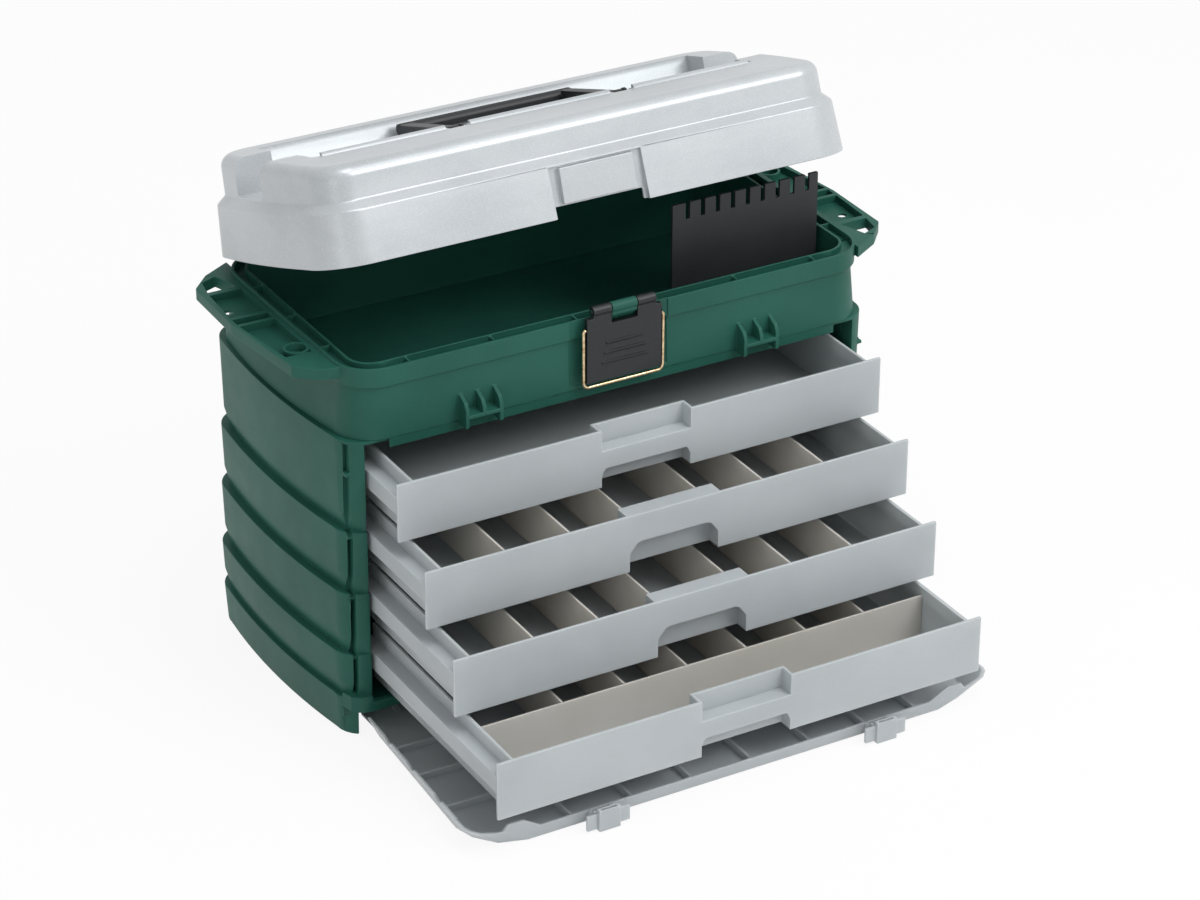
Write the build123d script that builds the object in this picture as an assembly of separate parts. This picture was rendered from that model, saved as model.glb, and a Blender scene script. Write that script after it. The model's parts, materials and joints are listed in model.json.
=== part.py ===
from build123d import *
import os
from math import cos, radians, sin

# Fishing tackle cabinet, modelled in millimetres.
# +Z is up, the drawers open towards -Y, X runs along the cabinet.
# The origin is on the ground, under the middle of the cabinet.

# ---- cabinet shell ------------------------------------------------------
FRONT_Y = -128.0          # plane of the front posts
BACK_Y = 130.0            # outside of the back at the widest
WALL = 3.0                # moulded wall
SHELL_TOP = 279.0         # top of the lower shell, where the well sits
TIER_PITCH = 58.0         # one lapped panel for each drawer
FIRST_TIER = 84.0         # the top panel is taller than the others
TIER_STEP = 5.0           # how far a panel's top edge stands proud
TIER_CHAMFER = 16.0       # height of the tuck-in at a panel's lower edge
TIER_FRONT_X = 255.0      # half-width of the top panel at the front
TIER_SPREAD = 2.3         # each panel is this much wider than the one above
SIDE_BOW = 9.0            # the sides bow out between front and back
FRONT_RADIUS = 25.0       # round front corners
BOW_Y = -15.0
BACK_FLARE = 5.0
BACK_RADIUS = 30.0
BASE_HEIGHT = 36.0        # plinth below the last panel
TIER_COUNT = 4
TOE = 5.0                 # plinth's front corners reach out by this
TOE_HEIGHT = 6.5

# ---- front opening ------------------------------------------------------
OPENING_HALF = 237.0
POST_WIDTH = 11.0
POST_GROOVE = 16.0
MOUTH_HALF = 249.0        # gap below the floor that the door slides through
POST_PLATE = 3.0
TICK = 3.0                # small ledges on the posts
FLANGE = 3.0              # frames round the top and the floor

# ---- well, rim and ears -------------------------------------------------
RIM_TOP = 344.0
RIM_BAND = 17.0
RIM_HALF_X = 249.5
RIM_FRONT = -131.5
RIM_BACK = 124.0
RIM_RADIUS = 34.0
BAND_STEP = 2.5           # the wall below the band is set back by this
WALL_SET = 4.0            # the wall's foot is inside the top panel by this
WALL_RADIUS = 30.0        # back corners of the wall's foot
LIP = 2.6
GUTTER = 9.0
GUTTER_DEPTH = 6.0
GUTTER_RIB = 1.6
GUTTER_RIB_PITCH = 78.0
APRON_DROP = 9.0          # front wall hangs this far below the shell's top
WELL_FLOOR = 272.0
EAR_TOP = RIM_TOP - 2
EAR_HEIGHT = 10.0
EAR_REACH = 31.5          # ends of the ear, outside the rim
EAR_BULGE = 10.0          # its middle stands out further by this
EAR_ROOT = 5.5            # how far it starts inside the rim
EAR_Y = (-97.0, -88.0, 8.0, 84.0, 104.0)
EAR_POCKETS = ((-70.0, 0.0), (4.0, 14.0), (18.0, 66.0))
EAR_SLOT = (72.0, 92.0)
EAR_TIE_Y = 43.0
EAR_ROUND = 7.0
EAR_BOSS_Y = -58.0
EAR_BOSS_R = 11.0
EAR_HOLE_R = 4.0
EAR_SHIFT = 2.0           # the right ear is the left one turned end for end
HOOK_X = 134.0
HOOK_WIDTH = 35.0
HOOK_Z = (SHELL_TOP - 3, SHELL_TOP + 25)
HOOK_REACH = 14.0
HOOK_FIN = 3.4

# ---- lid ----------------------------------------------------------------
HINGE_Y = 138.0
HINGE_Z = RIM_TOP + 2
LID_OPEN = 18.5           # degrees open in the pose shown
LID_WALL = 2.6
LID_HALF_X = 254.0
LID_BOW = 6.5             # the lid's ends bow out like the cabinet's sides
LID_FLARE = 3.5
LID_FRONT = -257.0        # measured from the hinge axis, lid shut
LID_BACK = -10.0
LID_BOTTOM = -1.5
LID_BAND = 43.0
LID_BEVEL = 50.0
LID_DECK_FRONT = 79.0
LID_DECK_BACK = 85.0
LID_CORNER = 42.0
LID_DRAFT = 3.5
LID_SHOULDER = 8.0        # the upper storey is narrower by this
LID_EDGE = 11.0           # rounding of the top edge
TROUGH_FRONT = -166.0
TROUGH_BACK = -50.0
TROUGH_FLOOR = 50.0
TROUGH_HALF_X = 212.0
TROUGH_SLOPE = 12.0
NOTCH_Y = (-136.0, -80.0)
BEAD_R = 4.5
BEAD_GAP = 11.5           # the bead stops this far from a handle arm's middle
LATCH_BAY = 44.0
LATCH_BAY_DEPTH = 6.5
LATCH_PAD = 35.0

# ---- hinge, handle, latch ----------------------------------------------
RUNNING = 0.05            # radial clearance of pins that turn
SIDE_PLAY = 0.4           # sideways clearance of parts that turn
HINGE_X = 150.0
HINGE_R = 6.0
HINGE_PIN_R = 2.0
KNUCKLE = 15.0
HANDLE_X = 79.0
HANDLE_ARM = 11.0
HANDLE_LENGTH = 98.0
HANDLE_EYE = 7.0
HANDLE_PIN_R = 2.5
HANDLE_Y = -160.0         # from the hinge axis, lid shut
HANDLE_Z = 75.0
HANDLE_BAR = 11.0
CHEEK = 2.6
PLATE_HALF = 36.0
PLATE_Z = (RIM_TOP - 57, RIM_TOP + 14)
PLATE_Y = RIM_FRONT - 9
PLATE_THICK = 4.5
LATCH_PIN_Z = RIM_TOP + 8
LATCH_PIN_R = 1.6
LATCH_KNUCKLE = 4.6
LUG_HALF = 12.0
BAIL_R = 1.5
BAIL_Z = (PLATE_Z[0] - 4, PLATE_Z[0] + 49)
BAIL_HALF = 38.3
BAIL_BEND = 5.0

# ---- drawers ------------------------------------------------------------
DRAWER_TOPS = (262.0, 204.0, 146.0, 88.0)
DRAWER_OUT = (50.0, 97.0, 144.0, 216.0)
DRAWER_HEIGHT = 53.0
DRAWER_DEPTH = 248.0
FRONT_HALF = 233.5
BOX_HALF = 220.5
DRAWER_WALL = 2.6
DRAWER_FLOOR = 2.2
RAIL_TOP = 12.0
RAIL_HEIGHT = 16.4
RAIL_PLAY = 0.4
LEDGE = 3.0
LEDGE_PLAY = 2.4
PULL_HALF = 43.0
PULL_DEPTH = 14.0
PULL_DROPS = (19.0, 0.0, 0.0, 19.0)
ARCH_HEIGHTS = (17.0, 27.0, 27.0, 17.0)
ARCH_TAPER = (4.0, 12.0, 12.0, 4.0)
DIVIDER = 1.8
DIVIDER_DROP = 7.0
DIVIDER_XS = (-154.5, -93.5, -36.0, 36.0, 93.5, 154.5)
REAR_XS = (-137.0, -78.0, -18.0, 40.0, 99.0, 158.0)
LONG_DIVIDER = 65.0
GROOVE_RIB = 1.4

# ---- rack in the well ---------------------------------------------------
RACK_X = (82.0, 228.0)
RACK_Y = -78.0
RACK_TOP = RIM_TOP + 56
RACK_THICK = 3.0
RACK_FOOT = 20.0
RACK_SLOT = 4.4
RACK_SLOT_DEPTH = 15.0
RACK_PITCH = 15.0

# ---- front door ---------------------------------------------------------
DOOR_TIP = -338.0
DOOR_REAR = -97.0
DOOR_PIVOT = (-90.0, 13.0)
DOOR_HALF = 247.0
DOOR_SPREAD = 8.0
DOOR_CORNER_LIP = 12.0    # the front corners are round at the lip and rounder at the bottom
DOOR_CORNER_LOW = 44.0
DOOR_SKIN = 2.6
DOOR_RISE = 0.4           # clear of the ground
DOOR_LIP = 23.0
DOOR_LEAN = 11.0          # the wings' walls lean out by this
DOOR_RIB = 9.0
DOOR_GAP = 8.0            # the walls end this far in front of the posts
DOOR_RIBS = (-160.0, -103.0, -46.0, 12.0, 70.0, 125.0, 176.0)
DOOR_NOTCHES = (-170.0, -216.0, -269.0)
DOOR_LATCH_X = 135.0
DOOR_LATCH_HALF = 20.0
DOOR_PIN_R = 2.5
DOOR_EYE = 6.0
CARRIAGE_X = 200.0
TRACK_HALF = 9.0
TRACK_LENGTH = 90.0
TRACK_DEPTH = 11.0
FLOOR_Z = 27.0


def block(x0, x1, y0, y1, z0, z1):
    """Box between two corners."""
    centre = Pos((x0 + x1) / 2, (y0 + y1) / 2, (z0 + z1) / 2)
    return centre * Box(abs(x1 - x0), abs(y1 - y0), abs(z1 - z0))


def both_sides(x0, x1, y0, y1, z0, z1):
    """The same box at +X and at -X."""
    return [block(x0, x1, y0, y1, z0, z1), block(-x1, -x0, y0, y1, z0, z1)]


def plan(points, z0, z1):
    """Outline in XY, raised from z0 to z1."""
    face = make_face(Polyline(*points, close=True))
    return Pos(0, 0, z0) * extrude(face, z1 - z0, dir=(0, 0, 1))


def section_yz(points, x0, x1):
    """Outline in YZ, carried from x0 to x1."""
    wire = Polyline(*[(x0, y, z) for y, z in points], close=True)
    return extrude(make_face(wire), x1 - x0, dir=(1, 0, 0))


def section_xz(points, y0, y1):
    """Outline in XZ, carried from y0 to y1."""
    wire = Polyline(*[(x, y0, z) for x, z in points], close=True)
    return extrude(make_face(wire), y1 - y0, dir=(0, 1, 0))


def rod_x(x0, x1, y, z, r):
    """Round bar along X."""
    return Pos((x0 + x1) / 2, y, z) * Rot(0, 90, 0) * Cylinder(r, abs(x1 - x0))


def upright(x, y, z0, z1, r):
    """Round bar along Z."""
    return Pos(x, y, (z0 + z1) / 2) * Cylinder(r, z1 - z0)


def rounded(half_x, y0, y1, radius, z):
    """Rounded rectangle at height z."""
    shape = RectangleRounded(2 * half_x, y1 - y0, radius)
    return Pos(0, (y0 + y1) / 2, z) * shape


def solid_of(parts):
    """All the pieces joined into one."""
    whole = parts[0]
    return whole + parts[1:] if len(parts) > 1 else whole


# ---- cabinet shell ------------------------------------------------------
def tier_tops():
    """Heights of the panels' proud top edges, from the top down."""
    tops = [SHELL_TOP]
    for index in range(1, TIER_COUNT):
        tops.append(SHELL_TOP - FIRST_TIER - (index - 1) * TIER_PITCH)
    return tops


def tier_face(front_x, inset, z):
    """Plan of the cabinet at height z: flat front, round corners, bowed sides."""
    x_front = front_x - inset
    x_mid = front_x + SIDE_BOW - inset
    x_back = front_x + BACK_FLARE - inset
    y_back = BACK_Y - inset
    y_turn = BACK_Y - BACK_RADIUS
    turn = y_back - y_turn
    short = turn * (1 - cos(radians(45)))
    edges = []
    y_front = FRONT_Y + FRONT_RADIUS
    near = FRONT_RADIUS * (1 - cos(radians(45)))
    flat = x_front - FRONT_RADIUS
    for side in (1, -1):
        edges.append(ThreePointArc((side * flat, FRONT_Y), (side * (x_front - near), FRONT_Y + near),
                                   (side * x_front, y_front)))
        edges.append(ThreePointArc((side * x_front, y_front), (side * x_mid, BOW_Y), (side * x_back, y_turn)))
        knee = (side * (x_back - short), y_back - short)
        edges.append(ThreePointArc((side * x_back, y_turn), knee, (side * (x_back - turn), y_back)))
    edges.append(Line((x_back - turn, y_back), (turn - x_back, y_back)))
    edges.append(Line((flat, FRONT_Y), (-flat, FRONT_Y)))
    return Pos(0, 0, z) * make_face(edges)


def lapped_shell():
    """Outer form: panels that stand proud at the top and tuck in below, on a plinth."""
    tops = tier_tops()
    bottoms = tops[1:] + [BASE_HEIGHT]
    parts = []
    for index, (top, bottom) in enumerate(zip(tops, bottoms)):
        wide = TIER_FRONT_X + index * TIER_SPREAD
        knee = bottom + TIER_CHAMFER
        parts.append(loft([tier_face(wide, TIER_STEP, bottom), tier_face(wide, 1, knee)], ruled=True))
        parts.append(loft([tier_face(wide, 1, knee), tier_face(wide, 0, top)], ruled=True))
    wide = TIER_FRONT_X + (TIER_COUNT - 1) * TIER_SPREAD
    parts.append(loft([tier_face(wide, 2, 0), tier_face(wide, 0, BASE_HEIGHT)], ruled=True))
    return solid_of(parts)


def case_shell():
    """Lower cabinet shell with its front posts, top frame and floor frame."""
    last = TIER_FRONT_X + (TIER_COUNT - 1) * TIER_SPREAD
    inside = TIER_STEP + WALL
    top_frame = SHELL_TOP - FLANGE
    cavity = loft([tier_face(last, inside, FLOOR_Z), tier_face(TIER_FRONT_X, inside, top_frame)], ruled=True)
    hollow_front = block(-OPENING_HALF, OPENING_HALF, FRONT_Y - 1, FRONT_Y + 30, FLOOR_Z, top_frame)
    plate_back = FRONT_Y + POST_GROOVE + POST_PLATE
    cavity = cavity - block(-last, last, FRONT_Y - 1, plate_back, FLOOR_Z, top_frame)
    shell = lapped_shell() - [cavity, hollow_front]
    # window in the top frame for the underside of the well
    window = GUTTER + LIP - 0.5
    shell = shell - extrude(
        rounded(RIM_HALF_X - window, RIM_FRONT + window, RIM_BACK - window, RIM_RADIUS - window, top_frame - 1),
        FLANGE + 2,
    )
    # underside: open below the floor, and open at the front for the door
    under = loft([tier_face(last, inside, -1), tier_face(last, inside, FLOOR_Z - 2)], ruled=True)
    mouth = block(-MOUTH_HALF, MOUTH_HALF, FRONT_Y - 1, FRONT_Y + 30, -1, FLOOR_Z - 2)
    frame = rounded(OPENING_HALF, FRONT_Y - 60, BACK_Y - 20, BACK_RADIUS, FLOOR_Z - 3)
    shell = shell - [under, mouth, extrude(frame, 4)]
    cuts = []
    for side in (1, -1):
        groove_in = side * (OPENING_HALF + POST_WIDTH)
        groove_out = side * (TIER_FRONT_X - TIER_STEP + 1.5)
        cuts.append(block(groove_in, groove_out, FRONT_Y - 1, FRONT_Y + POST_GROOVE, FLOOR_Z, top_frame))
    shell = shell - cuts
    ticks = []
    for top in DRAWER_TOPS:
        z = top - 2 * LEDGE - GUTTER
        ticks += both_sides(OPENING_HALF + 1, TIER_FRONT_X - TIER_STEP + 2, FRONT_Y + 7, FRONT_Y + POST_GROOVE + 1,
                            z, z + TICK)
    toes = []
    for side in (1, -1):
        low = [(OPENING_HALF - 23, FRONT_Y + 1), (OPENING_HALF - 2, FRONT_Y + 1), (TIER_FRONT_X - 10, FRONT_Y + 12),
               (TIER_FRONT_X + 4, FRONT_Y + 14), (TIER_FRONT_X + 1, FRONT_Y + 3), (TIER_FRONT_X - 6, FRONT_Y - 3),
               (TIER_FRONT_X - 14, FRONT_Y - TOE), (OPENING_HALF - 23, FRONT_Y - TOE)]
        high = [(OPENING_HALF + 2, FRONT_Y + 5)] + low[2:7] + [(OPENING_HALF + 2, FRONT_Y - TOE)]
        toes.append(plan([(side * x, y) for x, y in low], FLOOR_Z - 2, FLOOR_Z + TOE_HEIGHT))
        toes.append(plan([(side * x, y) for x, y in high], FLOOR_Z - 2, FLOOR_Z + 2 * TOE_HEIGHT))
    return shell + ticks + toes


def base_panel():
    """Cabinet floor with the two tracks that the door's carriage slides in."""
    edge = TIER_STEP + WALL + 0.5
    last = TIER_FRONT_X + (TIER_COUNT - 1) * TIER_SPREAD
    sheet = extrude(tier_face(last, edge, FLOOR_Z), FLANGE)
    sheet = sheet - block(-last, last, FRONT_Y - 1, FRONT_Y + POST_GROOVE + POST_PLATE + 0.5, FLOOR_Z - 1, FLOOR_Z + 9)
    front = FRONT_Y + 4
    tracks = []
    for side in (1, -1):
        middle = side * CARRIAGE_X
        for wall in (-1, 1):
            inner = middle + wall * TRACK_HALF
            outer = middle + wall * (TRACK_HALF + WALL)
            tracks.append(block(inner, outer, FRONT_Y + 12, FRONT_Y + 12 + TRACK_LENGTH, FLOOR_Z - TRACK_DEPTH, FLOOR_Z))
    reach = FRONT_Y + POST_GROOVE + POST_PLATE + 3
    tongue = block(-OPENING_HALF + 1, OPENING_HALF - 1, front, reach, FLOOR_Z, FLOOR_Z + FLANGE)
    return sheet + tracks + [tongue]


def runner_panel(side):
    """Inner side wall with one ledge for each drawer's rail."""
    y0 = FRONT_Y + POST_GROOVE + POST_PLATE
    y1 = BACK_Y - TIER_STEP - WALL - 4
    z0 = FLOOR_Z + FLANGE
    x0, x1 = sorted((side * OPENING_HALF, side * (OPENING_HALF + WALL)))
    parts = [block(x0, x1, y0, y1, z0, WELL_FLOOR - SIDE_PLAY)]
    for top in DRAWER_TOPS:
        seat = top - RAIL_TOP - RAIL_HEIGHT - RAIL_PLAY
        l0, l1 = sorted((side * (BOX_HALF + LEDGE_PLAY), side * OPENING_HALF))
        parts.append(block(l0, l1, y0, y1, seat - LEDGE, seat))
    return solid_of(parts)


# ---- well ---------------------------------------------------------------
def wall_face(inset, z, foot):
    """Plan of the well's wall: square like the rim above, bowed like the panels at its foot."""
    if foot:
        x_front, x_mid = TIER_FRONT_X - WALL_SET, TIER_FRONT_X + SIDE_BOW - WALL_SET
        x_back, front, back = TIER_FRONT_X + BACK_FLARE - WALL_SET, RIM_FRONT + 1, BACK_Y - WALL_SET
    else:
        x_front = x_mid = x_back = RIM_HALF_X - BAND_STEP
        x_mid += 1
        front, back = RIM_FRONT + BAND_STEP, RIM_BACK - BAND_STEP
    edges = []
    for side in (1, -1):
        fr = RIM_RADIUS - inset
        br = WALL_RADIUS - inset
        xf, xm, xb = (side * (x - inset) for x in (x_front, x_mid, x_back))
        yf, yb = front + inset, back - inset
        near, far = (r * (1 - cos(radians(45))) for r in (fr, br))
        edges.append(ThreePointArc((xf - side * fr, yf), (xf - side * near, yf + near), (xf, yf + fr)))
        edges.append(ThreePointArc((xf, yf + fr), (xm, BOW_Y), (xb, yb - br)))
        edges.append(ThreePointArc((xb, yb - br), (xb - side * far, yb - far), (xb - side * br, yb)))
    edges.append(Line((xf + fr, yf), (-xf - fr, yf)))
    edges.append(Line((xb + br, yb), (-xb - br, yb)))
    return Pos(0, 0, z) * make_face(edges)


def rim_face(inset, z):
    """Plan of the rim, drawn in by inset."""
    return rounded(RIM_HALF_X - inset, RIM_FRONT + inset, RIM_BACK - inset, RIM_RADIUS - inset, z)


def ear(side):
    """Carrying ear beside the rim, with a grip slot, a tie hole and two ribs."""
    x_in = RIM_HALF_X - EAR_ROOT
    x_end = RIM_HALF_X + EAR_REACH
    x_mid = x_end + EAR_BULGE
    y0, y1, y2, y3, y4 = EAR_Y
    z1 = EAR_TOP
    z0 = EAR_TOP - EAR_HEIGHT
    skin = LIP
    x_wall = x_in + EAR_ROOT + 2 * skin
    outline = [(x_in, y0 - 12), (x_end - 18, y0 - 8), (x_end, y1), (x_mid, y2), (x_end + 8, y3), (x_end - 10, y4)]
    body = plan(outline + [(x_in, y4 + 16)], z0, z1)
    outer = body.edges().filter_by(Axis.Z).filter_by(lambda edge: edge.center().X > x_end - 12)
    body = fillet(outer, EAR_ROUND)
    cuts = []
    for (low, high), (near, far) in zip(EAR_POCKETS, ((-3, 6), (6, 6), (6, 3))):
        corners = [(x_wall, low), (x_end + near, low), (x_end + far, high), (x_wall, high)]
        cuts.append(plan(corners, z0 + skin, z1 + 1))
    low, high = EAR_SLOT
    slot = [(x_wall + 2, low), (x_end + 2, low), (x_end - 2, high), (x_wall + 10, high + 6)]
    cuts.append(plan(slot, z0 - 1, z1 + 1))
    cuts.append(upright(x_end - EAR_HOLE_R, EAR_TIE_Y, z0 - 1, z1 + 1, EAR_HOLE_R))
    x_boss = x_wall + EAR_BOSS_R - skin
    body = body - cuts
    body = body + upright(x_boss, EAR_BOSS_Y, z0, z1, EAR_BOSS_R)
    body = body - upright(x_boss, EAR_BOSS_Y, z0 + skin, z1 + 1, EAR_BOSS_R - skin)
    body = body - upright(x_boss, EAR_BOSS_Y, z0 - 1, z1 + 1, EAR_HOLE_R)
    # the ear ends at the rim's outer face
    trim = extrude(rim_face(1, z0 - 1), EAR_HEIGHT + 2)
    body = body - trim
    if side < 0:
        return mirror(body, about=Plane.YZ)
    return Pos(0, -EAR_SHIFT, 0) * mirror(body, about=Plane.XZ)


def hook_bracket(side):
    """Moulded hook that the shut door's latch bites on."""
    x = side * HOOK_X
    z0, z1 = HOOK_Z
    y1 = RIM_FRONT + BAND_STEP
    y0 = y1 - HOOK_REACH
    parts = [block(x - HOOK_WIDTH / 2, x + HOOK_WIDTH / 2, y0, y1 + 1, z0 + 8, z0 + 8 + HOOK_FIN)]
    for step in (-1, 0, 1):
        middle = x + step * (HOOK_WIDTH - HOOK_FIN) / 2
        foot = z0 if step else z0 + 8
        points = [(y1 + 1, z1), (y0 + 3, z1 - 6), (y0, z1 - 12), (y0, foot), (y1 + 1, foot)]
        parts.append(section_yz(points, middle - HOOK_FIN / 2, middle + HOOK_FIN / 2))
    return parts


def well_tub():
    """Upper storey: outer wall, gutter rim, inner bin, ears, hooks and hinge arms."""
    band_z = RIM_TOP - RIM_BAND
    outer = loft([wall_face(0, SHELL_TOP, True), wall_face(0, band_z, False)], ruled=True)
    outer = outer + extrude(rim_face(0, band_z), RIM_BAND)
    inset = LIP + GUTTER
    gutter = extrude(rim_face(LIP, RIM_TOP - GUTTER_DEPTH), GUTTER_DEPTH + 1)
    gutter = gutter - extrude(rim_face(inset, RIM_TOP - GUTTER_DEPTH - 1), GUTTER_DEPTH + 3)
    bin_outer = extrude(rim_face(inset, WELL_FLOOR), RIM_TOP - WELL_FLOOR)
    bin_inner = extrude(rim_face(inset + LIP, WELL_FLOOR + WALL), RIM_TOP)
    below = loft([wall_face(LIP, SHELL_TOP, True), wall_face(LIP, band_z, False)], ruled=True)
    below = below + extrude(rim_face(2 * LIP, band_z - 1), RIM_BAND + 1 - GUTTER_DEPTH - LIP)
    below = below - bin_outer
    tub = outer + bin_outer
    tub = tub - [gutter, bin_inner, below]
    ribs = []
    x = -2.5 * GUTTER_RIB_PITCH
    while x < RIM_HALF_X - RIM_RADIUS:
        z0 = RIM_TOP - GUTTER_DEPTH
        ribs.append(block(x, x + GUTTER_RIB, RIM_FRONT + LIP - 0.5, RIM_FRONT + inset + 0.5, z0, RIM_TOP - 1))
        ribs.append(block(x, x + GUTTER_RIB, RIM_BACK - inset - 0.5, RIM_BACK - LIP + 0.5, z0, RIM_TOP - 1))
        x += GUTTER_RIB_PITCH
    for y in (-70.0, -5.0, 60.0):
        ribs += both_sides(RIM_HALF_X - inset - 0.5, RIM_HALF_X - LIP + 0.5, y, y + GUTTER_RIB,
                           RIM_TOP - GUTTER_DEPTH, RIM_TOP - 1)
    apron_x = RIM_HALF_X - RIM_RADIUS
    wall_y = RIM_FRONT + BAND_STEP - 1
    apron = block(-apron_x, apron_x, wall_y, FRONT_Y - 0.4, SHELL_TOP - APRON_DROP, SHELL_TOP)
    lip = block(-apron_x, apron_x, wall_y, wall_y + LIP + 1, SHELL_TOP, SHELL_TOP + 3)
    tub = tub + ribs + [apron, lip, ear(1), ear(-1)] + hook_bracket(1) + hook_bracket(-1)
    # bay for the latch plate, and the lug that carries its pin
    shallow = LIP / 2
    bay = [(RIM_FRONT - 1, SHELL_TOP + 4), (RIM_FRONT + 1 + shallow, SHELL_TOP + 4),
           (RIM_FRONT + BAND_STEP + shallow, band_z), (RIM_FRONT + shallow, band_z), (RIM_FRONT + shallow, RIM_TOP + 1),
           (RIM_FRONT - 1, RIM_TOP + 1)]
    tub = tub - section_yz(bay, -LATCH_BAY - 3, LATCH_BAY + 3)
    lug = section_yz([(RIM_FRONT + 2, RIM_TOP - 10), (PLATE_Y, LATCH_PIN_Z - 6),
                      (PLATE_Y, LATCH_PIN_Z), (RIM_FRONT + 2, LATCH_PIN_Z)], -LUG_HALF, LUG_HALF)
    eye_y = PLATE_Y + PLATE_THICK / 2 + 1
    lug = lug + rod_x(-LUG_HALF, LUG_HALF, eye_y, LATCH_PIN_Z, LATCH_KNUCKLE)
    tub = tub + lug
    bore = rod_x(-LUG_HALF - 1, LUG_HALF + 1, eye_y, LATCH_PIN_Z, LATCH_PIN_R)
    arms = []
    bores = []
    half = KNUCKLE / 2
    for side in (1, -1):
        x = side * HINGE_X
        arms.append(block(x - half, x + half, RIM_BACK - 1, HINGE_Y, RIM_TOP - RIM_BAND + 2, HINGE_Z - 3))
        arms.append(rod_x(x - half, x + half, HINGE_Y, HINGE_Z, HINGE_R))
        bores.append(rod_x(x - half - 1, x + half + 1, HINGE_Y, HINGE_Z, HINGE_PIN_R + RUNNING))
    return (tub + arms) - bores - bore


def slotted_rack():
    """Upright plate with hanging slots along its top, on a foot."""
    x0, x1 = RACK_X
    z0 = WELL_FLOOR + WALL
    half = RACK_THICK / 2
    plate = block(x0, x1, RACK_Y - half, RACK_Y + half, z0, RACK_TOP)
    foot = block(x0, x1, RACK_Y - RACK_FOOT / 2, RACK_Y + RACK_FOOT / 2, z0, z0 + RACK_THICK)
    slots = []
    x = x0 + RACK_PITCH
    while x < x1 - RACK_SLOT:
        slots.append(block(x - RACK_SLOT / 2, x + RACK_SLOT / 2, RACK_Y - RACK_THICK, RACK_Y + RACK_THICK,
                           RACK_TOP - RACK_SLOT_DEPTH, RACK_TOP + 1))
        x += RACK_PITCH
    return (plate + foot) - slots


def latch_pin():
    """Steel pin through the lug and the latch plate's knuckles."""
    reach = PLATE_HALF - 6
    return rod_x(-reach, reach, PLATE_Y + PLATE_THICK / 2 + 1, LATCH_PIN_Z, LATCH_PIN_R)


# ---- lid (drawn shut, measured from the hinge axis) ---------------------
def lid_place(shape):
    """From the hinge's own frame to the cabinet, swung to the pose shown."""
    return Pos(0, HINGE_Y, HINGE_Z) * Rot(-LID_OPEN, 0, 0) * shape


def lid_face(inset, z):
    """Plan of the lid, drawn in by inset."""
    radius = LID_CORNER - inset
    near = radius * (1 - cos(radians(45)))
    y0, y1 = LID_FRONT + inset, LID_BACK - inset
    x0, x_mid, x1 = (LID_HALF_X + grow - inset for grow in (0, LID_BOW, LID_FLARE))
    y_mid = (LID_FRONT + LID_BACK) / 2
    edges = []
    for side in (1, -1):
        edges.append(ThreePointArc((side * (x0 - radius), y0), (side * (x0 - near), y0 + near), (side * x0, y0 + radius)))
        edges.append(ThreePointArc((side * x0, y0 + radius), (side * x_mid, y_mid), (side * x1, y1 - radius)))
        edges.append(ThreePointArc((side * x1, y1 - radius), (side * (x1 - near), y1 - near), (side * (x1 - radius), y1)))
    edges.append(Line((x0 - radius, y0), (radius - x0, y0)))
    edges.append(Line((x1 - radius, y1), (radius - x1, y1)))
    return Pos(0, 0, z) * make_face(edges)


def lid_form(skin):
    """Two-storey lid form; skin is how far every face is drawn in."""
    low = LID_BOTTOM - 1 if skin else LID_BOTTOM
    shoulder = LID_SHOULDER + LID_DRAFT
    upper = shoulder + 1.5
    band = loft([lid_face(skin, low), lid_face(LID_DRAFT + skin, LID_BAND - skin / 2)], ruled=True)
    bevel = loft([lid_face(LID_DRAFT + skin, LID_BAND - skin / 2), lid_face(shoulder + skin, LID_BEVEL - skin / 2)],
                 ruled=True)
    storey = loft([lid_face(shoulder + skin, LID_BEVEL - skin / 2), lid_face(upper + skin, LID_DECK_BACK + 4)],
                  ruled=True)
    front = LID_FRONT - 10
    back = LID_BACK + 10
    slope = section_yz([(front, LID_DECK_FRONT - skin - 0.6), (back, LID_DECK_BACK - skin + 0.6),
                        (back, LID_DECK_BACK + 20), (front, LID_DECK_BACK + 20)],
                       -LID_HALF_X - LID_BOW, LID_HALF_X + LID_BOW)
    storey = storey - slope
    top = storey.faces().sort_by(Axis.Z)[-1]
    storey = fillet(top.edges(), LID_EDGE - skin)
    return band + bevel + storey


def trough_form(grow):
    """Space of the handle trough, with the two bracket pockets, grown by grow."""
    floor = TROUGH_FLOOR - grow
    head = LID_DECK_BACK + 10
    front = TROUGH_FRONT - grow
    back = TROUGH_BACK + grow
    half = TROUGH_HALF_X + grow
    trough = section_yz([(front, head), (front, LID_DECK_FRONT - 3), (front + TROUGH_SLOPE, floor),
                         (back - TROUGH_SLOPE / 2, floor), (back, LID_DECK_BACK - 6), (back, head)], -half, half)
    pocket = HANDLE_ARM / 2 + CHEEK + SIDE_PLAY + 0.3 + grow
    parts = [trough]
    for side in (1, -1):
        x = side * HANDLE_X
        parts.append(block(x - pocket, x + pocket, HANDLE_Y - 13 - grow, HANDLE_Y + 14, 60 - grow, head))
    return solid_of(parts)


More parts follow.
